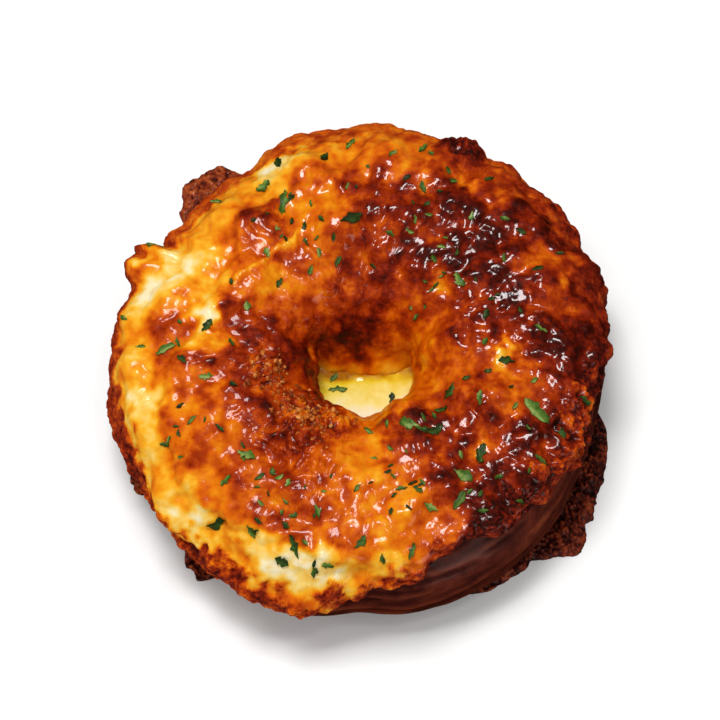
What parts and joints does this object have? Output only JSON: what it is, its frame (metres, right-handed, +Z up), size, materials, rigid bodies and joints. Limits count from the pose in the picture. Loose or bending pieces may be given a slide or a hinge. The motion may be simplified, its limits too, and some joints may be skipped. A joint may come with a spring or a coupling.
{
  "type": "cheese crust bagel",
  "caption": "Baked bagel ring under a browned, melted cheese crust with herb flakes, soft cheese in its hole and fried cheese wafers round its base.",
  "frame": {"origin": "middle of the base of the whole part, on the surface it lies on", "axes": "+Z up out of the crown of the ring, +X to the right and +Y to the far side as the bagel is seen from its front"},
  "size_m": [0.1132, 0.1188, 0.0385],
  "materials": {
    "bread": "dark brown baked crust, satin",
    "baked_cheese": "browned melted cheese, glossy with fat, pale cream to near black",
    "soft_cheese": "soft wet cheese, glossy",
    "fried_cheese": "crisp fried cheese, grainy"
  },
  "bodies": {
    "root": {"bread_ring": "bread", "cheese_blanket": "baked_cheese", "cheese_pool": "soft_cheese", "wafer_front_right": "fried_cheese", "wafer_back_left": "fried_cheese", "wafer_front_left": "fried_cheese", "wafer_left": "fried_cheese"}
  },
  "joints": []
}
